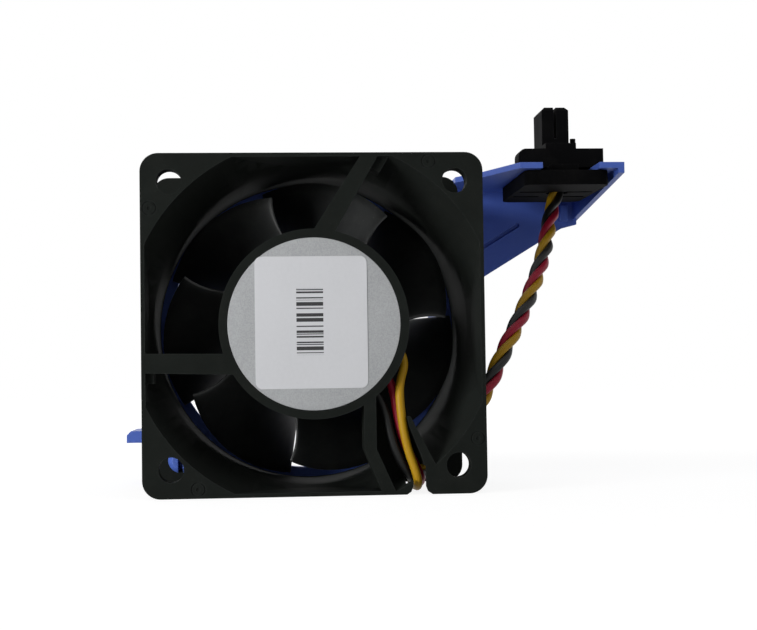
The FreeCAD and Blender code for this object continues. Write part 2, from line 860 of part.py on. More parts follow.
def web_groove():
    """A narrow groove with a rounded end, parallel to the web's lower edge."""
    front = arm_back - carrier_wall
    start_x = carrier_half + groove_start_gap
    start_z = web_low(start_x) + groove_rise
    end_z = web_low(groove_end_x) + groove_rise
    length = math.hypot(groove_end_x - start_x, end_z - start_z)
    lean = math.degrees(math.atan(web_slope))
    bar = block(0, length, front - overshoot, front + groove_depth, -groove_width / 2, groove_width / 2)
    bar = turn_about_axis(bar, lean)
    bar.translate(Vector(start_x, 0, start_z))
    return bar.fuse(barrel(groove_width / 2, front - overshoot, front + groove_depth, groove_end_x, end_z))


def shelf():
    middle = (shelf_left_middle_x, arm_back - shelf_left_middle_setback)
    outline = [(shelf_left_back_x, arm_back), (shelf_left_back_x, arm_back - shelf_left_turn_setback), middle,
               (shelf_left_front_x, fan_depth), (shelf_right_x, fan_depth), (shelf_right_back_x, arm_back)]
    plate = plate_xy(outline, shelf_bottom, shelf_top)
    slot = block(slot_left, slot_right, fan_depth - overshoot, slot_end_y, shelf_bottom - overshoot,
                 shelf_top + overshoot)
    slot = slot.makeFillet(slot_corner, edges_along(slot, Vector(0, 0, 1), lambda m: m.y > slot_end_y - join))
    return plate.cut(slot)


def gusset():
    """The arm's right side, deeper at the back and leaning inward with the shelf's edge."""
    inner_front, inner_back = shelf_right_x - gusset_thickness, shelf_right_back_x - gusset_thickness
    strip = plate_xy([(inner_front, fan_depth), (shelf_right_x, fan_depth), (shelf_right_back_x, arm_back),
                      (inner_back, arm_back)], shelf_top - gusset_back_height, shelf_top)
    profile = plate_yz([(fan_depth, shelf_top), (fan_depth, shelf_top - gusset_front_height),
                        (arm_back, shelf_top - gusset_back_height), (arm_back, shelf_top)],
                       inner_back, shelf_right_x)
    return strip.common(profile)


def pillar():
    """A short post on the web, below the connector."""
    web_front = arm_back - carrier_wall
    return block(pillar_x, pillar_x + pillar_width, web_front - pillar_depth, web_front + join,
                 web_low(pillar_x) + pillar_foot, connector_flange_bottom - pillar_top_gap)


def carrier():
    body = fused([collar()] + carrier_walls() + pegs() + [guide_tab(), web(), shelf(), gusset(), pillar()])
    return body.cut(web_groove())


# ---- connector ----

def connector_flange():
    half = connector_flange_width / 2
    front, back = plug_y - connector_flange_ahead, plug_y + connector_flange_behind
    flange = block(plug_x - half, plug_x + half, front, back,
                   connector_flange_bottom, shelf_bottom - panel_clearance)
    return flange.makeFillet(connector_flange_corner, edges_along(flange, Vector(0, 0, 1)))


def connector_neck():
    """The part that stands in the shelf's slot: narrow in front and as wide as the slot behind."""
    low, high = shelf_bottom - panel_clearance - join, shelf_top + panel_clearance + join
    neck_back = plug_y - neck_back_ahead
    neck_end = slot_end_y - side_clearance
    narrow = block(plug_x - neck_front_width / 2, plug_x + neck_front_width / 2, plug_y - neck_front_ahead,
                   neck_back + join, low, high)
    wide = block(slot_left + side_clearance, slot_right - side_clearance, neck_back, neck_end, low, high)
    back_corners = edges_along(wide, Vector(0, 0, 1), lambda m: m.y > neck_end - join)
    return [narrow, wide.makeFillet(slot_corner, back_corners)]


def connector_top():
    low = shelf_top + panel_clearance
    ear_front = plug_y - ear_ahead
    ears = block(plug_x - ear_width / 2, plug_x + ear_width / 2, ear_front, ear_front + ear_depth,
                 low, ear_top)
    ears = ears.makeFillet(ear_round, edges_along(ears, along_y, lambda m: m.x < plug_x))
    body = block(plug_x - block_width / 2, plug_x + block_width / 2, ear_front, plug_y + block_behind,
                 low, block_top)
    plug = block(plug_x - plug_width / 2, plug_x + plug_width / 2, plug_y - plug_depth / 2,
                 plug_y + plug_depth / 2, low, plug_top)
    rim = [edge for edge in plug.Edges if edge.CenterOfMass.z > plug_top - join]
    peg_foot = Vector(plug_x + guide_peg_offset, plug_y, low)
    peg = Part.makeCylinder(guide_peg_radius, guide_peg_top - low, peg_foot)
    return [ears, body, plug.makeChamfer(plug_chamfer, rim), peg]


def contact_cavities():
    half = cavity_size / 2
    return [block(x - half, x + half, y - half, y + half, cavity_bottom, plug_top + overshoot)
            for x, y in contact_places()]


def flange_recesses():
    """Four shallow pockets in the flange's underside."""
    out = connector_flange_width / 2 - recess_length / 2 - recess_edge_gap
    low = connector_flange_bottom
    return [block(x - recess_length / 2, x + recess_length / 2, y - recess_width / 2, y + recess_width / 2,
                  low - overshoot, low + recess_depth)
            for x in (plug_x - out, plug_x + out)
            for y in (plug_y - recess_row_offset, plug_y + recess_row_offset)]


def connector_housing():
    housing = fused([connector_flange()] + connector_neck() + connector_top())
    split = block(plug_x - plug_split / 2, plug_x + plug_split / 2, plug_y - plug_depth, plug_y + plug_depth,
                  plug_split_bottom, plug_top + overshoot)
    entry_x, entry_y, _ = bundle_route[-1]
    entry_foot = Vector(entry_x, entry_y, connector_flange_bottom - overshoot)
    entry = Part.makeCylinder(wire_entry_radius, wire_entry_depth + overshoot, entry_foot)
    for tool in [split, entry] + contact_cavities() + flange_recesses():
        housing = housing.cut(tool)
    return housing


def contact_places():
    half = contact_pitch / 2
    return [(plug_x - half, plug_y - half), (plug_x + half, plug_y - half),
            (plug_x - half, plug_y + half), (plug_x + half, plug_y + half)]


def connector_contacts():
    """A square contact standing on the floor of each wired cavity. The last cavity stays empty."""
    half = contact_size / 2
    foot = cavity_size / 2 - contact_gap
    floor = cavity_bottom + contact_gap
    contacts = []
    for x, y in contact_places()[:-1]:
        pin = block(x - half, x + half, y - half, y + half, floor, plug_top - contact_top_gap)
        base = block(x - foot, x + foot, y - foot, y + foot, floor, cavity_bottom + contact_base_height)
        contacts.append(pin.fuse(base))
    return contacts


def save(name, shapes):
    shape = shapes if not isinstance(shapes, list) else Part.makeCompound(shapes)
    solids = shape.Solids
    valid = all(solid.isValid() for solid in solids)
    if len(solids) == 1:
        shape = solids[0]
    shape.exportStep(f"parts/{name}.step")
    box = shape.BoundBox
    print(f"{name}: {len(solids)} solid(s), valid {valid}, volume {shape.Volume:.1f}, "
          f"x {box.XMin:.2f}..{box.XMax:.2f}, y {box.YMin:.2f}..{box.YMax:.2f}, "
          f"z {box.ZMin:.2f}..{box.ZMax:.2f}")


os.makedirs("parts", exist_ok=True)
save("fan_frame", fan_frame())
save("hub_label", hub_label())
save("paper_sticker", paper_sticker())
save("impeller", impeller())
save("rotor_yoke", rotor_yoke())
save("magnet_ring", magnet_ring())
save("shaft", shaft())
save("shaft_bushing", shaft_bushing())
save("shaft_clip", shaft_clip())
save("preload_spring", preload_spring())
save("front_bearing_outer_ring", bearing_outer(front_bearing_start))
save("rear_bearing_outer_ring", bearing_outer(rear_bearing_start))
save("front_bearing_inner_ring", bearing_inner(front_bearing_start))
save("rear_bearing_inner_ring", bearing_inner(rear_bearing_start))
save("bearing_balls", bearing_balls(front_bearing_start) + bearing_balls(rear_bearing_start))
save("bearing_tube", bearing_tube())
save("stator_core", stator_core())
save("front_insulator", insulator(core_front - insulator_thickness))
save("rear_insulator", insulator(core_front + core_length))
save("stator_windings", stator_windings())
save("motor_circuit_board", motor_circuit_board())
save("hall_sensor", hall_sensor())
save("driver_chip", driver_chip())
save("smoothing_capacitor", smoothing_capacitor())
save("carrier", carrier())
save("connector_housing", connector_housing())
save("connector_contacts", connector_contacts())
save("lead_yellow", tube_along(yellow_route, wire_diameter, "lead_yellow"))
save("lead_red", tube_along(red_route, wire_diameter, "lead_red"))
save("lead_black", tube_along(black_route, wire_diameter, "lead_black"))
save("twisted_lead", tube_along(bundle_route, bundle_diameter, "twisted_lead"))
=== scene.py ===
import math
import bmesh
import bpy
import numpy as np
from mathutils import Euler, Matrix, Vector


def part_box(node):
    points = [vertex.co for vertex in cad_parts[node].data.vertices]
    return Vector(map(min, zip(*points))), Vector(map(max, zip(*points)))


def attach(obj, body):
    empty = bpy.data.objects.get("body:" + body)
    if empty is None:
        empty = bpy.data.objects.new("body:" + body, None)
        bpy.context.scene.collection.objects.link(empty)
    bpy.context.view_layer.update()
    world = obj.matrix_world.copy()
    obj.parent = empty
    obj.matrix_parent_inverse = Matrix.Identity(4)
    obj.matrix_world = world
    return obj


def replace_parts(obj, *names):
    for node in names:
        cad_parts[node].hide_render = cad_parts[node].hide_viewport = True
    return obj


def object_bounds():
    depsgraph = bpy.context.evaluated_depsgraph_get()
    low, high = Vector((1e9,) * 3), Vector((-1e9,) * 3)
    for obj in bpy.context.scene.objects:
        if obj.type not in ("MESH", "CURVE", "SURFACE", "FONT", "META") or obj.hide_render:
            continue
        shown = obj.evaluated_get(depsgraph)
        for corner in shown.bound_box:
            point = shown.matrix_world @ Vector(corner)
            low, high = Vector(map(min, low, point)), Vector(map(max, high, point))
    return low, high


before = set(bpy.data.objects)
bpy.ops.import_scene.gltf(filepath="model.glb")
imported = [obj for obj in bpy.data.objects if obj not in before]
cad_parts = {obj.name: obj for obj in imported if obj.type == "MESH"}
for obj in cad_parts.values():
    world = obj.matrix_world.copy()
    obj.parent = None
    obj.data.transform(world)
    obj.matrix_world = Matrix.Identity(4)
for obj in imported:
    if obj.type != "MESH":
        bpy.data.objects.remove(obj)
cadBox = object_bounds()
mm = 0.001
fanLow, fanHigh = (np.array(corner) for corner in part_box("fan_frame"))
axisX, axisZ = (fanLow[0] + fanHigh[0]) / 2, (fanLow[2] + fanHigh[2]) / 2
print("frame loaded")


# colours and node helpers

def fromScreen(red, green, blue):
    # a colour as it is seen on a screen, from 0 to 255, made linear
    seen = np.array([red, green, blue]) / 255
    linear = np.where(seen <= 0.04045, seen / 12.92, ((seen + 0.055) / 1.055) ** 2.4)
    return (*[float(value) for value in linear], 1.0)


def newGroup(name, inputs, outputs):
    # inputs: (name, socket kind, default); outputs: (name, socket kind)
    group = bpy.data.node_groups.new(name, "ShaderNodeTree")
    for label, kind, start in inputs:
        socket = group.interface.new_socket(name=label, in_out="INPUT", socket_type="NodeSocket" + kind)
        if start is not None:
            socket.default_value = start
    for label, kind in outputs:
        group.interface.new_socket(name=label, in_out="OUTPUT", socket_type="NodeSocket" + kind)
    return group, group.nodes.new("NodeGroupInput"), group.nodes.new("NodeGroupOutput")


def addNode(tree, kind, settings=None, values=None):
    node = tree.nodes.new("ShaderNode" + kind)
    for key, value in (settings or {}).items():
        setattr(node, key, value)
    for key, value in (values or {}).items():
        node.inputs[key].default_value = value
    return node


def wire(tree, *pairs):
    for start, end in pairs:
        tree.links.new(start, end)


def mathStep(tree, operation, first, second=None, clamp=False):
    # one arithmetic node; numbers go on its sockets and other nodes' outputs are linked
    node = addNode(tree, "Math", {"operation": operation, "use_clamp": clamp})
    for place, value in enumerate((first, second)):
        if value is None:
            continue
        if isinstance(value, (int, float)):
            node.inputs[place].default_value = value
        else:
            wire(tree, (value, node.inputs[place]))
    return node.outputs[0]


def mixColour(tree, share, first, second):
    node = addNode(tree, "Mix", {"data_type": "RGBA"})
    for socket, value in ((node.inputs[0], share), (node.inputs[6], first), (node.inputs[7], second)):
        if isinstance(value, (int, float, tuple)):
            socket.default_value = value
        else:
            wire(tree, (value, socket))
    return node.outputs[2]


# shared effects

wearShape = {"samples": 4, "breakScale": 900, "breakDetail": 5, "gain": 6.0}
grainShape = {"fineDetail": 3, "fineRoughness": 0.6, "slowScale": 110, "slowDetail": 4, "cellScale": 0.7,
              "fineShare": 0.6, "cellShare": 0.4, "middle": 0.5}
dustShape = {"speckScale": 1300, "speckReach": 0.13, "speckShare": 0.5, "filmScale": 160, "filmDetail": 6,
             "filmRoughness": 0.7, "scatterLevel": 0.56, "hazeLevel": 0.45, "hazeGain": 0.9}


def makeEdgeWear():
    # how far a rounded normal leaves the true one marks an edge; noise breaks the mark up
    tree, given, out = newGroup("edgeWear", [("Width", "Float", 0.0003), ("Amount", "Float", 0.5),
                                             ("Vector", "Vector", None)], [("Mask", "Float")])
    w = wearShape
    rounded = addNode(tree, "Bevel", {"samples": w["samples"]})
    true = addNode(tree, "NewGeometry")
    dot = addNode(tree, "VectorMath", {"operation": "DOT_PRODUCT"})
    noise = addNode(tree, "TexNoise", values={"Scale": w["breakScale"], "Detail": w["breakDetail"]})
    wire(tree, (given.outputs["Width"], rounded.inputs["Radius"]), (rounded.outputs[0], dot.inputs[0]),
         (true.outputs["Normal"], dot.inputs[1]), (given.outputs["Vector"], noise.inputs["Vector"]))
    away = mathStep(tree, "SUBTRACT", 1.0, dot.outputs["Value"])
    edge = mathStep(tree, "MULTIPLY", away, w["gain"], clamp=True)
    broken = mathStep(tree, "MULTIPLY", edge, noise.outputs["Fac"])
    mask = mathStep(tree, "MULTIPLY", broken, given.outputs["Amount"], clamp=True)
    wire(tree, (mask, out.inputs["Mask"]))
    return tree


def makeMouldGrain():
    # fine spark-eroded grain as a height, and slow patches of polish as a roughness
    tree, given, out = newGroup("mouldGrain", [("Scale", "Float", 2600.0), ("Rough", "Float", 0.45),
                                               ("Spread", "Float", 0.12), ("Vector", "Vector", None)],
                                [("Height", "Float"), ("Roughness", "Float"), ("Tone", "Float")])
    g = grainShape
    fine = addNode(tree, "TexNoise", values={"Detail": g["fineDetail"], "Roughness": g["fineRoughness"]})
    slow = addNode(tree, "TexNoise", values={"Scale": g["slowScale"], "Detail": g["slowDetail"]})
    cells = addNode(tree, "TexVoronoi", {"feature": "F1"})
    vector, scale = given.outputs["Vector"], given.outputs["Scale"]
    wire(tree, (vector, fine.inputs["Vector"]), (scale, fine.inputs["Scale"]),
         (vector, slow.inputs["Vector"]), (vector, cells.inputs["Vector"]),
         (mathStep(tree, "MULTIPLY", scale, g["cellScale"]), cells.inputs["Scale"]))
    height = mathStep(tree, "ADD", mathStep(tree, "MULTIPLY", fine.outputs["Fac"], g["fineShare"]),
                      mathStep(tree, "MULTIPLY", cells.outputs["Distance"], g["cellShare"]))
    aboutMiddle = mathStep(tree, "SUBTRACT", slow.outputs["Fac"], g["middle"])
    swing = mathStep(tree, "MULTIPLY", aboutMiddle, given.outputs["Spread"])
    wire(tree, (height, out.inputs["Height"]),
         (mathStep(tree, "ADD", swing, given.outputs["Rough"], clamp=True), out.inputs["Roughness"]),
         (slow.outputs["Fac"], out.inputs["Tone"]))
    return tree


def makeDust():
    # pale specks and a thin film that gathers in slow patches
    tree, given, out = newGroup("dust", [("Amount", "Float", 0.3), ("Vector", "Vector", None)],
                                [("Mask", "Float")])
    d = dustShape
    specks = addNode(tree, "TexVoronoi", {"feature": "F1"}, {"Scale": d["speckScale"]})
    film = addNode(tree, "TexNoise", values={"Scale": d["filmScale"], "Detail": d["filmDetail"],
                                             "Roughness": d["filmRoughness"]})
    vector, cloud = given.outputs["Vector"], film.outputs["Fac"]
    wire(tree, (vector, specks.inputs["Vector"]), (vector, film.inputs["Vector"]))
    dot = mathStep(tree, "LESS_THAN", specks.outputs["Distance"], d["speckReach"])
    scatter = mathStep(tree, "GREATER_THAN", cloud, d["scatterLevel"])
    spots = mathStep(tree, "MULTIPLY", dot, scatter)
    overLevel = mathStep(tree, "SUBTRACT", cloud, d["hazeLevel"], clamp=True)
    haze = mathStep(tree, "MULTIPLY", overLevel, d["hazeGain"])
    both = mathStep(tree, "ADD", mathStep(tree, "MULTIPLY", spots, d["speckShare"]), haze, clamp=True)
    mask = mathStep(tree, "MULTIPLY", both, given.outputs["Amount"], clamp=True)
    wire(tree, (mask, out.inputs["Mask"]))
    return tree


edgeWear, mouldGrain, dustFilm = makeEdgeWear(), makeMouldGrain(), makeDust()


def placeGroup(tree, group, values, vector):
    node = tree.nodes.new("ShaderNodeGroup")
    node.node_tree = group
    for key, value in values.items():
        node.inputs[key].default_value = value
    wire(tree, (vector, node.inputs["Vector"]))
    return node


def startMaterial(name, settings):
    # a Principled surface whose fixed values stand on its own sockets
    material = bpy.data.materials.new(name)
    material.use_nodes = True
    tree = material.node_tree
    tree.nodes.clear()
    surface = addNode(tree, "BsdfPrincipled", values=settings)
    out = addNode(tree, "OutputMaterial")
    place = addNode(tree, "TexCoord")
    wire(tree, (surface.outputs[0], out.inputs["Surface"]))
    return material, tree, surface, place.outputs["Object"]


def addBump(tree, surface, height, strength, distance):
    bump = addNode(tree, "Bump", values={"Strength": strength, "Distance": distance})
    wire(tree, (height, bump.inputs["Height"]), (bump.outputs[0], surface.inputs["Normal"]))


def setRoughness(tree, surface, noise, gain, base):
    # roughness: noise * gain + base
    rough = mathStep(tree, "ADD", mathStep(tree, "MULTIPLY", noise, gain), base)
    wire(tree, (rough, surface.inputs["Roughness"]))


plasticShape = {"ior": 1.5, "specular": 0.5, "dustRoughening": 0.4, "grainDepth": 0.04 * mm}
metalShape = {"lineScale": 400, "lineDetail": 4, "lineBump": 0.15, "lineDepth": 0.03 * mm,
              "smudgeScale": 150, "smudgeDetail": 3, "smudgeGain": 0.25, "smudgeMiddle": 0.12}


def mouldedPlastic(name, look):
    # grain and polish patches, a lighter worn edge, and a little dust over the base colour
    p = plasticShape
    specular = look.get("specular", p["specular"])
    material, tree, surface, place = startMaterial(name, {"Specular IOR Level": specular, "IOR": p["ior"]})
    grain = placeGroup(tree, mouldGrain, {"Scale": look["grainScale"], "Rough": look["roughness"],
                                          "Spread": look["polish"]}, place)
    wear = placeGroup(tree, edgeWear, {"Width": look["wearWidth"], "Amount": look["wear"]}, place)
    dust = placeGroup(tree, dustFilm, {"Amount": look["dust"]}, place)
    toned = mixColour(tree, grain.outputs["Tone"], look["dark"], look["light"])
    worn = mixColour(tree, wear.outputs["Mask"], toned, look["worn"])
    dusty = mixColour(tree, dust.outputs["Mask"], worn, look["dustColour"])
    duller = mathStep(tree, "ADD", grain.outputs["Roughness"],
                      mathStep(tree, "MULTIPLY", dust.outputs["Mask"], p["dustRoughening"]), clamp=True)
    wire(tree, (dusty, surface.inputs["Base Color"]), (duller, surface.inputs["Roughness"]))
    addBump(tree, surface, grain.outputs["Height"], look["grain"], p["grainDepth"])
    return material


def metalFinish(name, look):
    # turned or drawn metal: fine lines along one direction, smudged roughness
    m = metalShape
    material, tree, surface, place = startMaterial(name, {"Metallic": 1.0})
    stretch = addNode(tree, "Mapping", values={"Scale": look["lines"]})
    lines = addNode(tree, "TexNoise", values={"Scale": m["lineScale"], "Detail": m["lineDetail"]})
    smudge = addNode(tree, "TexNoise", values={"Scale": m["smudgeScale"], "Detail": m["smudgeDetail"]})
    wire(tree, (place, stretch.inputs["Vector"]), (stretch.outputs[0], lines.inputs["Vector"]),
         (place, smudge.inputs["Vector"]))
    toned = mixColour(tree, lines.outputs["Fac"], look["dark"], look["light"])
    wire(tree, (toned, surface.inputs["Base Color"]))
    setRoughness(tree, surface, smudge.outputs["Fac"], m["smudgeGain"], look["roughness"] - m["smudgeMiddle"])
    addBump(tree, surface, lines.outputs["Fac"], m["lineBump"], m["lineDepth"])
    return material


# materials

framePlastic = mouldedPlastic("blackFramePlastic", {
    "dark": fromScreen(23, 25, 23), "light": fromScreen(30, 33, 31), "worn": fromScreen(62, 65, 64),
    "dustColour": fromScreen(100, 99, 94), "specular": 0.02, "roughness": 0.7, "polish": 0.16,
    "grainScale": 2600.0, "grain": 0.35, "wear": 0.5, "wearWidth": 0.00025, "dust": 0.10})
bladePlastic = mouldedPlastic("blackBladePlastic", {
    "dark": fromScreen(27, 29, 29), "light": fromScreen(36, 38, 38), "worn": fromScreen(80, 83, 84),
    "dustColour": fromScreen(132, 130, 124), "specular": 0.35, "roughness": 0.4, "polish": 0.12,
    "grainScale": 3200.0, "grain": 0.18, "wear": 0.6, "wearWidth": 0.0003, "dust": 0.22})
carrierPlastic = mouldedPlastic("blueCarrierPlastic", {
    "dark": fromScreen(64, 90, 172), "light": fromScreen(77, 105, 188), "worn": fromScreen(116, 142, 212),
    "dustColour": fromScreen(150, 155, 175), "specular": 0.3, "roughness": 0.5, "polish": 0.15,
    "grainScale": 2400.0, "grain": 0.3, "wear": 0.6, "wearWidth": 0.0003, "dust": 0.08})
connectorPlastic = mouldedPlastic("blackConnectorPlastic", {
    "dark": fromScreen(7, 7, 8), "light": fromScreen(12, 12, 13), "worn": fromScreen(44, 44, 46),
    "dustColour": fromScreen(96, 95, 92), "specular": 0.02, "roughness": 0.74, "polish": 0.14,
    "grainScale": 3000.0, "grain": 0.3, "wear": 0.55, "wearWidth": 0.0002, "dust": 0.1})
nylon = mouldedPlastic("naturalNylon", {
    "dark": fromScreen(206, 202, 190), "light": fromScreen(222, 219, 208), "worn": fromScreen(235, 233, 226),
    "dustColour": fromScreen(150, 145, 130), "roughness": 0.5, "polish": 0.1,
    "grainScale": 2600.0, "grain": 0.2, "wear": 0.2, "wearWidth": 0.0002, "dust": 0.05})
chipBlack = mouldedPlastic("chipEpoxy", {
    "dark": fromScreen(28, 28, 29), "light": fromScreen(36, 36, 37), "worn": fromScreen(60, 60, 60),
    "dustColour": fromScreen(110, 108, 104), "roughness": 0.55, "polish": 0.1,
    "grainScale": 3200.0, "grain": 0.4, "wear": 0.2, "wearWidth": 0.0001, "dust": 0.05})
ferrite = mouldedPlastic("bondedFerrite", {
    "dark": fromScreen(44, 42, 41), "light": fromScreen(58, 56, 54), "worn": fromScreen(84, 82, 80),
    "dustColour": fromScreen(110, 105, 98), "roughness": 0.6, "polish": 0.2,
    "grainScale": 1800.0, "grain": 0.5, "wear": 0.3, "wearWidth": 0.0002, "dust": 0.05})
solderMask = mouldedPlastic("greenSolderMask", {
    "dark": fromScreen(20, 84, 46), "light": fromScreen(28, 104, 58), "worn": fromScreen(120, 150, 110),
    "dustColour": fromScreen(130, 140, 120), "roughness": 0.3, "polish": 0.1,
    "grainScale": 1500.0, "grain": 0.15, "wear": 0.3, "wearWidth": 0.0001, "dust": 0.05})
alongAxis, acrossAxis = (1.0, 0.05, 1.0), (0.05, 1.0, 0.05)
groundSteel = metalFinish("groundSteel", {
    "lines": acrossAxis, "roughness": 0.24,
    "dark": fromScreen(168, 170, 174), "light": fromScreen(204, 206, 209)})
drawnSteel = metalFinish("drawnSteel", {
    "lines": alongAxis, "roughness": 0.38,
    "dark": fromScreen(140, 141, 144), "light": fromScreen(178, 180, 182)})
laminations = metalFinish("steelLaminations", {
    "lines": (0.05, 6.0, 0.05), "roughness": 0.5,
    "dark": fromScreen(70, 72, 76), "light": fromScreen(150, 152, 156)})
turnedBrass = metalFinish("turnedBrass", {
    "lines": acrossAxis, "roughness": 0.3,
    "dark": fromScreen(190, 150, 76), "light": fromScreen(222, 186, 108)})
copperWire = metalFinish("enamelledCopper", {
    "lines": (1.0, 5.0, 1.0), "roughness": 0.32,
    "dark": fromScreen(140, 66, 34), "light": fromScreen(206, 112, 60)})
aluminiumCan = metalFinish("aluminiumCan", {
    "lines": acrossAxis, "roughness": 0.34,
    "dark": fromScreen(176, 178, 182), "light": fromScreen(208, 210, 212)})


sleeveShape = {"specular": 0.2, "coat": 0.03, "coatRoughness": 0.3, "lines": (9.0, 260.0, 1.0),
               "lineDetail": 3, "lineGain": 0.18, "lineMiddle": 0.09, "lineBump": 0.12,
               "lineDepth": 0.03 * mm,
               "smudgeScale": 330, "smudgeDetail": 4, "grimeLevel": 0.55, "grimeGain": 2.0}


def insulationMaterial(name, look):
    # extruded sleeve: faint draw lines along the lead from its own UV map, dull smudges, a waxy sheen
    i = sleeveShape
    material, tree, surface, place = startMaterial(name, {
        "Specular IOR Level": i["specular"], "Coat Weight": i["coat"], "Coat Roughness": i["coatRoughness"]})
    along = addNode(tree, "UVMap", {"uv_map": "lead"})
    stretch = addNode(tree, "Mapping", values={"Scale": i["lines"]})
    lines = addNode(tree, "TexNoise", values={"Scale": 1.0, "Detail": i["lineDetail"]})
    smudge = addNode(tree, "TexNoise", values={"Scale": i["smudgeScale"], "Detail": i["smudgeDetail"]})
    wire(tree, (along.outputs[0], stretch.inputs["Vector"]), (stretch.outputs[0], lines.inputs["Vector"]),
         (place, smudge.inputs["Vector"]))
    toned = mixColour(tree, smudge.outputs["Fac"], look["dark"], look["light"])
    overLevel = mathStep(tree, "SUBTRACT", smudge.outputs["Fac"], i["grimeLevel"], clamp=True)
    grime = mathStep(tree, "MULTIPLY", overLevel, i["grimeGain"])
    wire(tree, (mixColour(tree, grime, toned, look["grime"]), surface.inputs["Base Color"]))
    setRoughness(tree, surface, lines.outputs["Fac"], i["lineGain"], look["roughness"] - i["lineMiddle"])
    addBump(tree, surface, lines.outputs["Fac"], i["lineBump"], i["lineDepth"])
    return material


leadFinish = {
    "yellow": insulationMaterial("yellowInsulation", {
        "dark": fromScreen(158, 120, 12), "light": fromScreen(178, 138, 20),
        "grime": fromScreen(122, 92, 18), "roughness": 0.5}),
    "red": insulationMaterial("redInsulation", {
        "dark": fromScreen(136, 12, 38), "light": fromScreen(154, 18, 48),
        "grime": fromScreen(92, 12, 28), "roughness": 0.5}),
    "black": insulationMaterial("blackInsulation", {
        "dark": fromScreen(9, 10, 10), "light": fromScreen(17, 18, 18),
        "grime": fromScreen(34, 34, 33), "roughness": 0.52})}


filmShape = {"coat": 0.25, "coatRoughness": 0.3, "flakeScale": 5200, "slowScale": 140, "slowDetail": 3,
             "flakeShare": 0.5, "slowShare": 0.5, "slowGain": 0.2, "slowMiddle": 0.1, "bump": 0.2,
             "depth": 0.06 * mm}


def filmMaterial(name, look):
    # silver-grey printed film: tiny metal flakes, a fine roller texture and a soft gloss
    f = filmShape
    material, tree, surface, place = startMaterial(name, {"Coat Weight": f["coat"],
                                                          "Coat Roughness": f["coatRoughness"]})
    flakes = addNode(tree, "TexVoronoi", {"feature": "F1"}, {"Scale": f["flakeScale"]})
    slow = addNode(tree, "TexNoise", values={"Scale": f["slowScale"], "Detail": f["slowDetail"]})
    wire(tree, (place, flakes.inputs["Vector"]), (place, slow.inputs["Vector"]))
    speck = addNode(tree, "TexWhiteNoise")
    wire(tree, (flakes.outputs["Position"], speck.inputs["Vector"]))
    share = mathStep(tree, "ADD", mathStep(tree, "MULTIPLY", speck.outputs["Value"], f["flakeShare"]),
                     mathStep(tree, "MULTIPLY", slow.outputs["Fac"], f["slowShare"]))
    wire(tree, (mixColour(tree, share, look["dark"], look["light"]), surface.inputs["Base Color"]))
    setRoughness(tree, surface, slow.outputs["Fac"], f["slowGain"], look["roughness"] - f["slowMiddle"])
    addBump(tree, surface, slow.outputs["Fac"], f["bump"], f["depth"])
    return material


labelFilm = filmMaterial("silverGreyFilm", {
    "dark": fromScreen(140, 142, 144), "light": fromScreen(168, 170, 171), "roughness": 0.42})


paperShape = {"specular": 0.35, "fibreScale": 1500, "fibreDetail": 6, "fibreRoughness": 0.65,
              "cloudScale": 90, "cloudDetail": 3, "secondPitch": 2.63, "thirdPitch": 0.47, "secondShare": 0.8,
              "thirdShare": 0.7, "inkShare": 0.97, "roughGain": 0.2, "roughness": 0.38, "bump": 0.25,
              "depth": 0.02 * mm}


def paperMaterial(name, look):
    # white paper: fibres as colour and height, and a block of plain bars that mean nothing
    p = paperShape
    material, tree, surface, place = startMaterial(name, {"Specular IOR Level": p["specular"]})
    fibre = addNode(tree, "TexNoise", values={"Scale": p["fibreScale"], "Detail": p["fibreDetail"],
                                              "Roughness": p["fibreRoughness"]})
    cloud = addNode(tree, "TexNoise", values={"Scale": p["cloudScale"], "Detail": p["cloudDetail"]})
    wire(tree, (place, fibre.inputs["Vector"]), (place, cloud.inputs["Vector"]))
    parts = addNode(tree, "SeparateXYZ")
    wire(tree, (place, parts.inputs[0]))
    # bars: three waves of the height added together, cut at a level, so that their widths vary
    height = mathStep(tree, "SUBTRACT", parts.outputs["Z"], look["barsZ"])
    across = mathStep(tree, "SUBTRACT", parts.outputs["X"], look["barsX"])
    first, second, third = (
        mathStep(tree, "SINE", mathStep(tree, "MULTIPLY", height, 2 * math.pi / (look["barPitch"] * pitch)))
        for pitch in (1.0, p["secondPitch"], p["thirdPitch"]))
    twoWaves = mathStep(tree, "ADD", first, mathStep(tree, "MULTIPLY", second, p["secondShare"]))
    waves = mathStep(tree, "ADD", twoWaves, mathStep(tree, "MULTIPLY", third, p["thirdShare"]))
    bars = mathStep(tree, "GREATER_THAN", waves, look["barLevel"])
    insideX = mathStep(tree, "LESS_THAN", mathStep(tree, "ABSOLUTE", across), look["barsWidth"] / 2)
    insideZ = mathStep(tree, "LESS_THAN", mathStep(tree, "ABSOLUTE", height), look["barsHeight"] / 2)
    ink = mathStep(tree, "MULTIPLY", mathStep(tree, "MULTIPLY", bars, insideX), insideZ)
    inkShare = mathStep(tree, "MULTIPLY", ink, p["inkShare"])
    paper = mixColour(tree, mathStep(tree, "MULTIPLY", cloud.outputs["Fac"], fibre.outputs["Fac"]),
                      look["light"], look["dark"])
    wire(tree, (mixColour(tree, inkShare, paper, look["ink"]), surface.inputs["Base Color"]))
    setRoughness(tree, surface, fibre.outputs["Fac"], p["roughGain"], p["roughness"])
    addBump(tree, surface, fibre.outputs["Fac"], p["bump"], p["depth"])
    return material


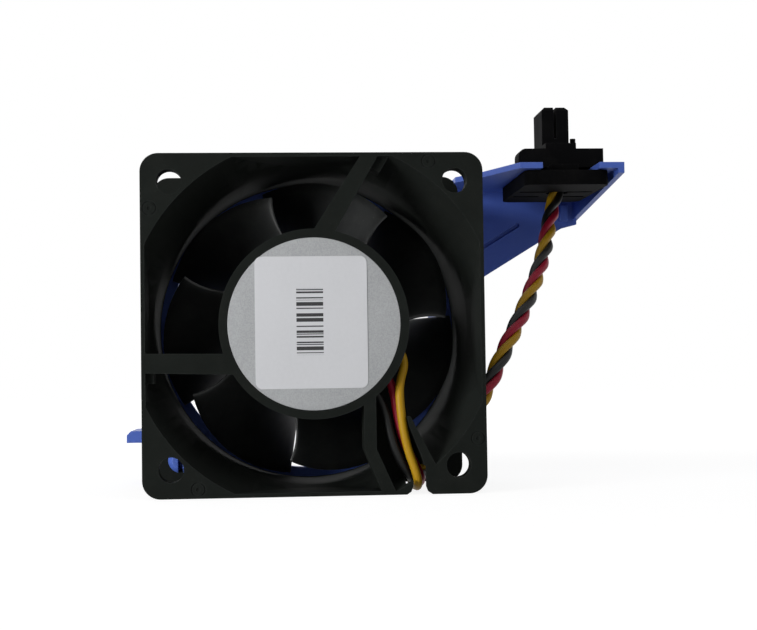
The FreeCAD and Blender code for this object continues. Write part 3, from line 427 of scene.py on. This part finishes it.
stickerPaper = paperMaterial("stickerPaper", {
    "light": fromScreen(202, 203, 206), "dark": fromScreen(188, 189, 192), "ink": fromScreen(20, 20, 22),
    "barsX": -0.76 * mm, "barsZ": 0.35 * mm, "barsWidth": 4.7 * mm, "barsHeight": 11.7 * mm,
    "barPitch": 0.97 * mm, "barLevel": 0.1})
print("materials made")


# surfaces

weldReach = {"plain": 0.002 * mm, "fine": 0.0001 * mm, "dressed": 0.003 * mm}


def putMesh(name, points, faces, body, materials, faceMaterial=None, uv=None,
            weld=weldReach["plain"], sharp=40):
    # arrays of points and faces, and each corner's place on the lead's map, become one smooth-shaded piece
    mesh = bpy.data.meshes.new(name)
    mesh.from_pydata(points.tolist(), [], faces.tolist())
    for material in materials:
        mesh.materials.append(material)
    if faceMaterial is not None:
        mesh.polygons.foreach_set("material_index", faceMaterial)
    if uv is not None:
        mesh.uv_layers.new(name="lead").uv.foreach_set("vector", uv.ravel())
    shape = bmesh.new()
    shape.from_mesh(mesh)
    bmesh.ops.remove_doubles(shape, verts=shape.verts, dist=weld)
    bmesh.ops.recalc_face_normals(shape, faces=shape.faces)
    shape.to_mesh(mesh)
    shape.free()
    return finishPiece(name, mesh, body, sharp)


def finishPiece(name, mesh, body, sharp):
    mesh.shade_smooth()
    mesh.set_sharp_from_angle(angle=math.radians(sharp))
    piece = bpy.data.objects.new(name, mesh)
    bpy.context.scene.collection.objects.link(piece)
    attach(piece, body)
    return piece


def gridFaces(rows, columns, closed, start=0):
    # quads between neighbouring rows and columns of a grid; a closed grid joins its last column to its first
    across = np.arange(columns if closed else columns - 1)
    row, column = np.meshgrid(np.arange(rows - 1), across, indexing="ij")
    after = (column + 1) % columns
    corners = np.stack([row * columns + column, row * columns + after,
                        (row + 1) * columns + after, (row + 1) * columns + column], axis=-1)
    return corners.reshape(-1, 4) + start


def turnedPoints(profile, steps):
    # a profile of (radius, y) carried round the fan's axis: x = radius cos(angle), z = radius sin(angle)
    angle = np.linspace(0, 2 * math.pi, steps, endpoint=False)
    radius, y = profile[:, :1], profile[:, 1:]
    x = axisX + radius * np.cos(angle)
    z = axisZ + radius * np.sin(angle)
    return np.stack([x, np.broadcast_to(y, x.shape), z], axis=-1).reshape(-1, 3)


def roundedProfile(corners, rounds, steps=5):
    # a closed outline with each corner replaced by a quadratic curve between points set back along its sides
    corners = np.array(corners, float)
    before, after = np.roll(corners, 1, axis=0), np.roll(corners, -1, axis=0)
    back = (before - corners) / np.linalg.norm(before - corners, axis=1, keepdims=True)
    ahead = (after - corners) / np.linalg.norm(after - corners, axis=1, keepdims=True)
    reach = np.array(rounds, float)[:, None]
    share = np.linspace(0, 1, steps)[None, :, None]
    first, last = (corners + back * reach)[:, None], (corners + ahead * reach)[:, None]
    middle = corners[:, None]
    curve = (1 - share) ** 2 * first + 2 * share * (1 - share) * middle + share ** 2 * last
    return curve.reshape(-1, 2)


# impeller

impeller = {"blades": 7, "phase": 1.5, "wrap": 55.0, "camber": 3.0, "bow": 3.0, "bowSpread": 0.8,
            "bowLean": 0.9, "front": 16.5 * mm, "back": 35.0 * mm, "thick": 1.3 * mm, "edge": 0.7 * mm,
            "edgeFullness": 0.4, "tip": 28.1 * mm, "tipDrop": 3.1 * mm, "tipFull": 30.0 * mm,
            "root": 16.0 * mm, "tipRound": 0.16 * mm, "tipKeep": 0.8, "around": 56, "outward": 9,
            "hubRadius": 16.5 * mm, "hubSteps": 160, "hubWall": 1.2 * mm, "hubRound": 1.2 * mm,
            "pole": 0.5 * mm, "poleRound": 0.01 * mm, "rimRound": 0.3 * mm, "lipRound": 0.2 * mm,
            "insideRound": 0.4 * mm, "sharp": 50}


def bladePoints(which):
    # s runs along the blade from outlet to inlet: y = front + s (back - front). The polar angle is
    # phase + which * pitch + wrap s + camber sin(pi s) + bow sin(bowSpread pi share^bowLean) (1 - s)^2,
    # where share runs from root to tip. The tip radius is tip - tipDrop ((tipFull - y) / (tipFull - front))^2
    # up to tipFull, then tip. Each side stands off along the normal by half of
    # edge |sin a|^edgeFullness + (thick - edge) |sin a|, at the angle a round the section
    b = impeller
    around = np.linspace(0, 2 * math.pi, b["around"], endpoint=False)
    s = (1 - np.cos(around)) / 2
    bulge = np.abs(np.sin(around))
    thickness = b["edge"] * bulge ** b["edgeFullness"] + (b["thick"] - b["edge"]) * bulge
    half = thickness / 2 * np.sign(np.sin(around))
    middleY = b["front"] + s * (b["back"] - b["front"])
    short = np.clip((b["tipFull"] - middleY) / (b["tipFull"] - b["front"]), 0, 1)
    tip = b["tip"] - b["tipDrop"] * short ** 2
    share = np.concatenate([np.linspace(0, 1, b["outward"]), [1, 1]])[:, None]
    rim = np.concatenate([np.zeros(b["outward"]), [b["tipRound"]] * 2])[:, None]
    radius = b["root"] + share * (tip - b["tipRound"] - b["root"])[None, :] + rim
    keep = np.concatenate([np.ones(b["outward"]), [b["tipKeep"], 0.0]])[:, None]
    bow = b["bow"] * np.sin(b["bowSpread"] * math.pi * share ** b["bowLean"]) * (1 - s[None, :]) ** 2
    bend = b["camber"] * np.sin(math.pi * s)
    turn = np.radians(b["phase"] + which * 360 / b["blades"] + b["wrap"] * s + bend + bow)
    slope = np.radians(b["wrap"] + b["camber"] * math.pi * np.cos(math.pi * s)) / (b["back"] - b["front"])
    lean = radius * slope[None, :]
    off = half[None, :] * keep / np.sqrt(1 + lean ** 2)
    y = middleY[None, :] - lean * off
    x = radius * np.cos(turn) - off * np.sin(turn)
    z = radius * np.sin(turn) + off * np.cos(turn)
    return np.stack([axisX + x, y, axisZ + z], axis=-1).reshape(-1, 3)


def makeImpeller():
    b = impeller
    low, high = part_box("impeller")
    yFront, yBack = low[1], high[1]
    outer, inner, yInside = b["hubRadius"], b["hubRadius"] - b["hubWall"], yBack - b["hubWall"]
    corners = [(b["pole"], yBack), (outer, yBack), (outer, yFront), (inner, yFront), (inner, yInside),
               (b["pole"], yInside)]
    rounds = [b["poleRound"], b["hubRound"], b["rimRound"], b["lipRound"], b["insideRound"], b["poleRound"]]
    profile = np.vstack([[[0.0, yBack]], roundedProfile(corners, rounds), [[0.0, yInside]]])
    points = [turnedPoints(profile, b["hubSteps"])]
    faces = [gridFaces(len(profile), b["hubSteps"], True)]
    count = len(points[0])
    for which in range(b["blades"]):
        blade = bladePoints(which)
        faces.append(gridFaces(b["outward"] + 2, b["around"], True, count))
        points.append(blade)
        count += len(blade)
    piece = putMesh("impellerBlades", np.vstack(points), np.vstack(faces), "rotor",
                    [bladePlastic], sharp=b["sharp"])
    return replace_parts(piece, "impeller")


makeImpeller()
print("impeller made")


# labels

label = {"radius": 15.1 * mm, "round": 0.08 * mm, "backRound": 0.03 * mm, "pole": 0.5 * mm,
         "poleRound": 0.01 * mm, "steps": 128}
sticker = {"width": 19.6 * mm, "height": 23.1 * mm, "corner": 1.2 * mm, "side": -0.5 * mm, "up": 0.25 * mm,
           "cornerSteps": 8, "rings": 14, "lip": 0.03 * mm, "lipShare": 0.998, "innerShare": 0.985,
           "cockle": 0.03 * mm, "waveX": 4.1 * mm, "waveZ": 5.3 * mm, "waveShift": 0.6, "waveLimit": 0.5}


def makeLabel():
    low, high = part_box("hub_label")
    front, back = low[1], high[1]
    pole, radius = label["pole"], label["radius"]
    corners = [(pole, front), (radius, front), (radius, back), (pole, back)]
    rounds = [label["poleRound"], label["round"], label["backRound"], label["poleRound"]]
    profile = np.vstack([[[0.0, front]], roundedProfile(corners, rounds), [[0.0, back]]])
    points = turnedPoints(profile, label["steps"])
    faces = gridFaces(len(profile), label["steps"], True)
    piece = putMesh("roundLabel", points, faces, "module", [labelFilm], weld=weldReach["fine"])
    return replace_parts(piece, "hub_label")


def roundedOutline(width, height, corner, steps):
    # four quarter circles of the corner's radius, joined by straight sides
    quarter = np.linspace(0, math.pi / 2, steps)
    centres = np.array([(1, 1), (-1, 1), (-1, -1), (1, -1)]) * [width / 2 - corner, height / 2 - corner]
    turns = quarter[None, :] + np.arange(4)[:, None] * math.pi / 2
    return (centres[:, None] + corner * np.stack([np.cos(turns), np.sin(turns)], axis=-1)).reshape(-1, 2)


def makeSticker():
    # rings of one rounded outline, shrunk towards the middle, with a faint wave as of paper not pressed down:
    # y = low + cockle sin(x / waveX + waveShift) cos(z / waveZ) (1 - share, at most waveLimit)
    k = sticker
    low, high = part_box("paper_sticker")
    edge = roundedOutline(k["width"], k["height"], k["corner"], k["cornerSteps"])
    inner = np.linspace(k["innerShare"], 0.0, k["rings"])
    share = np.concatenate([[1.0, 1.0, k["lipShare"]], inner])[:, None]
    depth = np.concatenate([[high[1], low[1] + k["lip"], low[1]], np.full(k["rings"], low[1])])[:, None]
    x = k["side"] + edge[None, :, 0] * share
    z = k["up"] + edge[None, :, 1] * share
    inward = np.clip(1 - share, 0, k["waveLimit"])
    wave = k["cockle"] * np.sin(x / k["waveX"] + k["waveShift"]) * np.cos(z / k["waveZ"]) * inward
    y = depth + np.where(depth < high[1], wave, 0)
    points = np.stack([x, np.broadcast_to(y, x.shape), z], axis=-1).reshape(-1, 3)
    back = np.tile([k["side"], high[1], k["up"]], (len(edge), 1))
    faces = gridFaces(len(share), len(edge), True)
    ring = np.arange(len(edge))
    after = (ring + 1) % len(edge)
    start = len(points)
    closing = np.stack([ring, after, start + after, start + ring], axis=-1)
    piece = putMesh("paperSticker", np.vstack([points, back]), np.vstack([faces, closing]), "module",
                    [stickerPaper], weld=weldReach["fine"])
    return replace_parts(piece, "paper_sticker")


makeLabel()
makeSticker()
print("labels made")


# leads

leads = {"wire": 1.55 * mm, "bundle": 3.3 * mm, "layStart": 13.3 * mm, "layEnd": 18.5 * mm,
         "spread": 0.87 * mm, "around": 14, "station": 0.4 * mm, "fewest": 8, "splineSteps": 24,
         "capShare": 0.75, "bundleReference": (1.0, -1.0, 0.0), "channelReference": (1.0, 0.2, 0.35)}
# where each strand starts round the middle of the twisted lead, in x and z
strandStarts = {"yellow": (0.0, -1.0), "red": (0.87, 0.5), "black": (-0.87, 0.5)}
channelRoutes = {
    "yellow": [(10.4, 4.5, -1.6), (14.6, 4.3, -3.8), (16.2, 3.6, -6.8), (15.0, 2.7, -10.4),
               (14.9, 1.9, -13.8), (15.4, 1.7, -18.4), (16.3, 1.7, -22.6), (17.4, 1.7, -25.6),
               (18.0, 1.8, -27.8), (18.05, 3.8, -28.9), (18.05, 5.95, -28.9)],
    "red": [(9.2, 4.5, -4.8), (12.2, 4.5, -7.7), (13.9, 4.3, -11.2), (14.4, 3.7, -14.8),
            (14.9, 3.4, -18.6), (16.1, 3.4, -22.0), (17.5, 3.4, -24.6), (18.4, 3.7, -26.6),
            (18.85, 4.6, -27.5), (18.85, 5.95, -27.55)],
    "black": [(7.2, 4.5, -7.8), (9.6, 4.4, -10.6), (11.7, 3.8, -13.6), (12.6, 2.8, -16.4),
              (13.1, 2.3, -19.2), (13.9, 2.3, -22.0), (15.0, 2.6, -24.4), (16.2, 3.3, -26.4),
              (17.15, 4.5, -27.45), (17.2, 5.95, -27.55)]}
bundleRoute = [(18.05, 6.0, -28.0), (18.05, 10.6, -28.0), (22.0, 13.6, -25.2), (25.8, 15.8, -21.3),
               (29.6, 17.6, -17.4), (33.6, 20.6, -11.2), (37.4, 23.8, -4.1), (41.6, 29.2, 2.5),
               (45.3, 35.4, 9.0), (48.4, 41.6, 15.2), (50.4, 47.2, 20.4), (51.9, 51.8, 24.4),
               (53.5, 55.0, 27.6), (53.9, 55.2, 30.8)]


def smoothLine(name, route):
    # the points read from a NURBS spline whose control points are the route
    curve = bpy.data.curves.new(name, "CURVE")
    curve.dimensions = "3D"
    spline = curve.splines.new("NURBS")
    spline.points.add(len(route) - 1)
    for point, place in zip(spline.points, route):
        point.co = (*(value * mm for value in place), 1.0)
    spline.order_u = 3
    spline.use_endpoint_u = True
    spline.resolution_u = leads["splineSteps"]
    holder = bpy.data.objects.new(name, curve)
    mesh = bpy.data.meshes.new_from_object(holder)
    line = np.zeros(len(mesh.vertices) * 3)
    mesh.vertices.foreach_get("co", line)
    bpy.data.objects.remove(holder)
    bpy.data.curves.remove(curve)
    bpy.data.meshes.remove(mesh)
    return line.reshape(-1, 3)


def evenLine(line, step):
    # the same line with its points an even step apart, and the distance of each from the start
    along = np.concatenate([[0], np.cumsum(np.linalg.norm(np.diff(line, axis=0), axis=1))])
    at = np.linspace(0, along[-1], max(leads["fewest"], int(along[-1] / step)))
    return np.stack([np.interp(at, along, line[:, k]) for k in range(3)], axis=-1), at


def lineFrames(line, reference):
    # at each point, two directions across the line, worked out from one fixed reference
    travel = np.gradient(line, axis=0)
    travel /= np.linalg.norm(travel, axis=1, keepdims=True)
    side = np.cross(travel, reference)
    side /= np.linalg.norm(side, axis=1, keepdims=True)
    return side, np.cross(side, travel)


def tubePoints(centre, radius, reference):
    # circles of one radius about each point of a centre line, closed by shrunken circles at both ends
    side, up = lineFrames(centre, reference)
    turn = np.linspace(0, 2 * math.pi, leads["around"], endpoint=False)
    cap = leads["capShare"]
    size = np.concatenate([[0.0, cap], np.ones(len(centre) - 2), [cap, 0.0]])
    middle = np.vstack([centre[:1], centre, centre[-1:]])
    across = side[:, None] * np.cos(turn)[None, :, None] + up[:, None] * np.sin(turn)[None, :, None]
    across = np.concatenate([across[:1], across, across[-1:]])
    return (middle[:, None] + across * radius * size[:, None, None]).reshape(-1, 3), len(middle)


def leadMap(rows, length):
    # for the four corners of each quad: u goes round the lead once and v is the distance along it
    row, column = np.meshgrid(np.arange(rows - 1), np.arange(leads["around"]), indexing="ij")
    u = np.stack([column, column + 1, column + 1, column], axis=-1) / leads["around"]
    v = np.stack([row, row, row + 1, row + 1], axis=-1) * length / (rows - 1)
    return np.stack([u, v], axis=-1).reshape(-1, 2)


def makeStrands():
    # each strand is a helix about the route: centre + spread (side cos(turn) + up sin(turn)). The lay grows
    # evenly from layStart to layEnd, so that
    # turn = phase - 2 pi length / growth * log(1 + growth distance / (length layStart))
    route = smoothLine("twistedRoute", bundleRoute)
    line, at = evenLine(route, leads["station"])
    reference = leads["bundleReference"]
    side, up = lineFrames(line, reference)
    points, faces, faceMaterial, uv, count = [], [], [], [], 0
    length, growth = float(at[-1]), leads["layEnd"] - leads["layStart"]
    turned = 2 * math.pi * length / growth * np.log(1 + growth * at / (length * leads["layStart"]))
    for place, (startX, startZ) in enumerate(strandStarts.values()):
        start = np.array([startX, 0.0, startZ])
        phase = math.atan2(start @ up[0], start @ side[0])
        turn = phase - turned
        centre = line + leads["spread"] * (side * np.cos(turn)[:, None] + up * np.sin(turn)[:, None])
        tube, rows = tubePoints(centre, leads["wire"] / 2, reference)
        quads = gridFaces(rows, leads["around"], True, count)
        points.append(tube)
        faces.append(quads)
        uv.append(leadMap(rows, length))
        faceMaterial.append(np.full(len(quads), place))
        count += len(tube)
    finishes = [leadFinish[colour] for colour in strandStarts]
    piece = putMesh("twistedLead", np.vstack(points), np.vstack(faces), "module", finishes,
                    np.concatenate(faceMaterial), np.vstack(uv), weldReach["fine"])
    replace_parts(piece, "twisted_lead")
    print("twisted lead length", round(length, 4))


def makeChannelLeads():
    for colour, route in channelRoutes.items():
        line, at = evenLine(smoothLine(colour + "Route", route), leads["station"])
        tube, rows = tubePoints(line, leads["wire"] / 2, leads["channelReference"])
        quads, uv = gridFaces(rows, leads["around"], True), leadMap(rows, float(at[-1]))
        piece = putMesh(colour + "Lead", tube, quads, "module", [leadFinish[colour]],
                        uv=uv, weld=weldReach["fine"])
        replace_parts(piece, "lead_" + colour)


makeStrands()
makeChannelLeads()
print("leads made")


# moulded parts, dressed from their CAD solids

dress = {"flatAngle": 0.6, "sharp": 28, "segments": 2}


def dressNode(node, name, body, material, edgeRound):
    # a merged copy of a CAD node with its flat faces joined and its edges rounded
    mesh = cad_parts[node].data.copy()
    mesh.name = name
    shape = bmesh.new()
    shape.from_mesh(mesh)
    bmesh.ops.remove_doubles(shape, verts=shape.verts, dist=weldReach["dressed"])
    flatAngle = math.radians(dress["flatAngle"])
    bmesh.ops.dissolve_limit(shape, angle_limit=flatAngle, verts=shape.verts, edges=shape.edges)
    shape.to_mesh(mesh)
    shape.free()
    mesh.materials.clear()
    mesh.materials.append(material)
    piece = finishPiece(name, mesh, body, dress["sharp"])
    rounding = piece.modifiers.new("edgeRound", "BEVEL")
    rounding.width, rounding.segments = edgeRound, dress["segments"]
    rounding.limit_method, rounding.angle_limit = "ANGLE", math.radians(dress["sharp"])
    rounding.harden_normals = False
    smoothing = piece.modifiers.new("faceWeight", "WEIGHTED_NORMAL")
    smoothing.keep_sharp = False
    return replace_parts(piece, node)


dressNode("fan_frame", "strutFrame", "module", framePlastic, 0.12 * mm)
dressNode("carrier", "blueCarrier", "module", carrierPlastic, 0.12 * mm)
dressNode("connector_housing", "panelConnector", "module", connectorPlastic, 0.1 * mm)
print("moulded parts dressed")

plainFinishes = {
    "rotor_yoke": drawnSteel, "magnet_ring": ferrite, "shaft": groundSteel, "shaft_bushing": turnedBrass,
    "shaft_clip": groundSteel, "preload_spring": groundSteel, "front_bearing_outer_ring": groundSteel,
    "rear_bearing_outer_ring": groundSteel, "front_bearing_inner_ring": groundSteel,
    "rear_bearing_inner_ring": groundSteel, "bearing_balls": groundSteel, "bearing_tube": turnedBrass,
    "stator_core": laminations, "front_insulator": nylon, "rear_insulator": nylon,
    "stator_windings": copperWire, "motor_circuit_board": solderMask, "hall_sensor": chipBlack,
    "driver_chip": chipBlack, "smoothing_capacitor": aluminiumCan, "connector_contacts": turnedBrass}
for node, material in plainFinishes.items():
    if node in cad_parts:
        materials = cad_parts[node].data.materials
        materials.clear()
        materials.append(material)
print("inner parts finished")


# stage, light and camera

stage = {"floorSize": 3.0, "floorColour": fromScreen(236, 236, 237), "floorRoughness": 0.9, "ambient": 0.17,
         "whiteShare": 0.72, "whiteStrength": 1.22, "whiteFrom": 0.12, "whiteTo": 0.45}


def seenDirectly(tree):
    # 1 where the camera sees the surroundings straight, in a gloss or through glass; 0 where they only light
    rays = addNode(tree, "LightPath")
    clear = mathStep(tree, "MAXIMUM", rays.outputs["Is Glossy Ray"], rays.outputs["Is Transmission Ray"])
    return mathStep(tree, "MAXIMUM", rays.outputs["Is Camera Ray"], clear)


def makeStage():
    half = stage["floorSize"] / 2
    floorZ = cadBox[0][2]
    mesh = bpy.data.meshes.new("paleFloor")
    corners = [(-half, -half, floorZ), (half, -half, floorZ), (half, half, floorZ), (-half, half, floorZ)]
    mesh.from_pydata(corners, [], [(0, 1, 2, 3)])
    floor = bpy.data.objects.new("paleFloor", mesh)
    bpy.context.scene.collection.objects.link(floor)
    material, tree, surface, place = startMaterial("palePaper", {"Base Color": stage["floorColour"],
                                                                 "Roughness": stage["floorRoughness"]})
    # seen directly or in a gloss the floor is white far away, and near the object it keeps part of its shadow
    seen = seenDirectly(tree)
    white = addNode(tree, "Emission", values={"Color": (1, 1, 1, 1), "Strength": stage["whiteStrength"]})
    blend = addNode(tree, "MixShader")
    away = addNode(tree, "VectorMath", {"operation": "LENGTH"})
    fade = addNode(tree, "MapRange", {"interpolation_type": "SMOOTHSTEP"}, {
        "From Min": stage["whiteFrom"], "From Max": stage["whiteTo"],
        "To Min": stage["whiteShare"], "To Max": 1.0})
    wire(tree, (place, away.inputs[0]), (away.outputs["Value"], fade.inputs["Value"]))
    wire(tree, (mathStep(tree, "MULTIPLY", seen, fade.outputs[0]), blend.inputs[0]),
         (surface.outputs[0], blend.inputs[1]), (white.outputs[0], blend.inputs[2]),
         (blend.outputs[0], next(n for n in tree.nodes if n.type == "OUTPUT_MATERIAL").inputs["Surface"]))
    mesh.materials.append(material)


def makeWorld():
    world = bpy.data.worlds.new("studio")
    bpy.context.scene.world = world
    world.use_nodes = True
    tree = world.node_tree
    tree.nodes.clear()
    seen = seenDirectly(tree)
    lit = addNode(tree, "Background", values={"Color": (1, 1, 1, 1), "Strength": stage["ambient"]})
    white = addNode(tree, "Background", values={"Color": (1, 1, 1, 1), "Strength": 1.0})
    blend = addNode(tree, "MixShader")
    out = addNode(tree, "OutputWorld")
    wire(tree, (seen, blend.inputs[0]), (lit.outputs[0], blend.inputs[1]),
         (white.outputs[0], blend.inputs[2]), (blend.outputs[0], out.inputs["Surface"]))


lamps = {
    "lowLeft": {"at": (-0.38, -0.30, 0.02), "size": 0.24, "power": 2.75},
    "overhead": {"at": (-0.05, -0.20, 0.60), "size": 0.50, "power": 0.75},
    "right": {"at": (0.60, -0.30, 0.22), "size": 0.40, "power": 0.3},
    "behind": {"at": (-0.15, 0.65, 0.30), "size": 0.50, "power": 0.6}}


lampAim = (0.01, 0.02, 0.0)


def makeLamps():
    for name, lamp in lamps.items():
        light = bpy.data.lights.new(name, "AREA")
        light.shape, light.size, light.energy = "DISK", lamp["size"], lamp["power"]
        holder = bpy.data.objects.new(name, light)
        holder.location = lamp["at"]
        away = Vector(lamp["at"]) - Vector(lampAim)
        holder.rotation_euler = away.to_track_quat("Z", "Y").to_euler()
        bpy.context.scene.collection.objects.link(holder)


camera = {"at": (-9.95, -272.13, -9.56), "pitch": 0.0401, "roll": 0.0146, "yaw": -0.0771, "lens": 74.31,
          "sensor": 36.0, "near": 0.005, "far": 20.0}


def makeCamera():
    # the turn's columns are the camera's right, forward and up; Blender's camera looks along its own -Z
    turn = Euler((camera["pitch"], camera["roll"], camera["yaw"]), "XYZ").to_matrix()
    right, forward, up = turn.col[0], turn.col[1], turn.col[2]
    data = bpy.data.cameras.new("view")
    data.lens, data.sensor_width = camera["lens"], camera["sensor"]
    data.clip_start, data.clip_end = camera["near"], camera["far"]
    holder = bpy.data.objects.new("view", data)
    place = Matrix((right, up, -forward)).transposed().to_4x4()
    place.translation = Vector(camera["at"]) * mm
    holder.matrix_world = place
    bpy.context.scene.collection.objects.link(holder)
    bpy.context.scene.camera = holder


makeStage()
makeWorld()
makeLamps()
makeCamera()
bpy.context.scene.view_settings.view_transform = "Standard"
print("stage, light and camera made")
